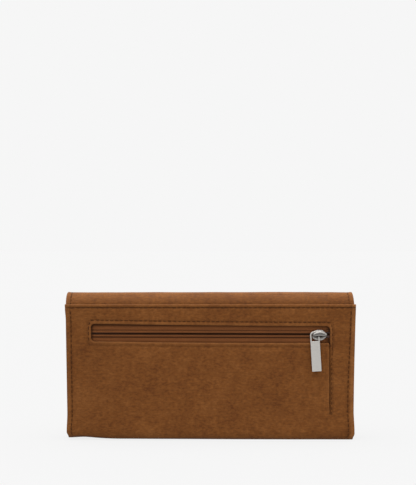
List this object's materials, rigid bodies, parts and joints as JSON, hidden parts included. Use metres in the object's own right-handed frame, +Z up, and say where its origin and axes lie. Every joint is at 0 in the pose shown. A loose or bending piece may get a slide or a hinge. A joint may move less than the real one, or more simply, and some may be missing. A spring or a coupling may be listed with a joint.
{
  "type": "flap wallet",
  "caption": "Long leather wallet with a rolled-over magnetic flap, bill and card compartments, a strap ring inside and a zip pocket in its back wall.",
  "frame": {"origin": "bottom centre: on the surface the wallet stands on, at the middle of its width and of its overall depth", "axes": "+Z up, +X to the right when looking at the zip wall, +Y towards the flap side; the zip wall faces -Y"},
  "size_m": [0.202, 0.0276, 0.102],
  "materials": {
    "outer_leather": "matt oiled brown leather with light pull-up at the folds",
    "inner_leather": "smooth thin brown leather",
    "lining_cloth": "plain woven brown cloth",
    "zip_tape": "woven reddish-brown zip tape",
    "zip_coil": "satin brown coil",
    "bright_metal": "brushed, slightly worn nickel",
    "snap_metal": "satin nickel",
    "board": "plain stiffening board",
    "clear_film": "clear film"
  },
  "bodies": {
    "wallet": {"back_panel": "outer_leather", "base_fold_back": "outer_leather", "base_fold_bottom": "outer_leather", "base_fold_front": "outer_leather", "back_lining": "lining_cloth", "back_top_facing": "inner_leather", "flap_seam_stub": "outer_leather", "zip_tape_upper": "zip_tape", "zip_tape_lower": "zip_tape", "zip_coil_upper": "zip_coil", "zip_coil_lower": "zip_coil", "zip_top_stop": "bright_metal", "zip_bottom_stop": "bright_metal", "zip_pocket_outer_layer": "lining_cloth", "zip_pocket_inner_layer": "lining_cloth", "card_pocket_left_1": "inner_leather", "card_pocket_left_2": "inner_leather", "card_pocket_left_3": "inner_leather", "card_pocket_right_1": "inner_leather", "card_pocket_right_2": "inner_leather", "card_pocket_right_3": "inner_leather", "gusset_back_left": "inner_leather", "gusset_back_right": "inner_leather", "strap_tab": "inner_leather"},
    "ring": {"strap_ring": "bright_metal"},
    "slider": {"zip_slider": "bright_metal", "zip_crown": "bright_metal"},
    "pull": {"zip_pull": "bright_metal"},
    "divider": {"divider_board": "inner_leather", "divider_card_pocket_1": "inner_leather", "divider_card_pocket_2": "inner_leather", "id_window_frame": "inner_leather", "id_window_film": "clear_film", "gusset_front_left": "inner_leather", "gusset_front_right": "inner_leather"},
    "front": {"front_panel": "outer_leather", "front_lining": "lining_cloth", "front_slip_pocket": "lining_cloth", "snap_socket": "snap_metal", "snap_socket_washer": "snap_metal"},
    "roll_back": {"roll_back_leather": "outer_leather", "roll_back_lining": "inner_leather"},
    "roll_front": {"roll_front_leather": "outer_leather", "roll_front_lining": "inner_leather"},
    "flap": {"flap_leather": "outer_leather", "flap_board": "board", "flap_lining": "inner_leather", "snap_stud": "snap_metal", "snap_stud_washer": "snap_metal"}
  },
  "joints": [
    {"name": "flap_open", "type": "hinge", "parent": "wallet", "child": "roll_back", "pos_m": [0, -0.00656, 0.09745], "axis": [1, 0, 0], "range_deg": [0, 50]},
    {"name": "flap_roll", "type": "hinge", "parent": "roll_back", "child": "roll_front", "pos_m": [0, 0.00146, 0.10195], "axis": [1, 0, 0], "range_deg": [0, 65]},
    {"name": "flap_fold", "type": "hinge", "parent": "roll_front", "child": "flap", "pos_m": [0, 0.01099, 0.09816], "axis": [1, 0, 0], "range_deg": [0, 65]},
    {"name": "mouth_open", "type": "hinge", "parent": "wallet", "child": "front", "pos_m": [0, 0.0094, 0.0046], "axis": [-1, 0, 0], "range_deg": [0, 12], "deforming": ["gusset_front_left", "gusset_front_right"]},
    {"name": "divider_tilt", "type": "hinge", "parent": "wallet", "child": "divider", "pos_m": [0, 0.00105, 0.0055], "axis": [-1, 0, 0], "range_deg": [0, 6], "deforming": ["gusset_back_left", "gusset_back_right"]},
    {"name": "zip_slide", "type": "slide", "parent": "wallet", "child": "slider", "axis": [-1, 0, 0], "range_m": [0, 0.15]},
    {"name": "pull_swing", "type": "hinge", "parent": "slider", "child": "pull", "pos_m": [0.072, -0.0118, 0.0735], "axis": [0, 1, 0], "range_deg": [-40, 100]},
    {"name": "ring_swing", "type": "hinge", "parent": "wallet", "child": "ring", "pos_m": [-0.076, -0.0034, 0.0846], "axis": [1, 0, 0], "range_deg": [0, 15]}
  ],
  "couplings": [
    {"joint": "flap_roll", "follows": "flap_open", "ratio": 1.3},
    {"joint": "flap_fold", "follows": "flap_open", "ratio": 1.3},
    {"joint": "mouth_open", "follows": "flap_open", "ratio": 0.24},
    {"joint": "divider_tilt", "follows": "flap_open", "ratio": 0.12}
  ]
}
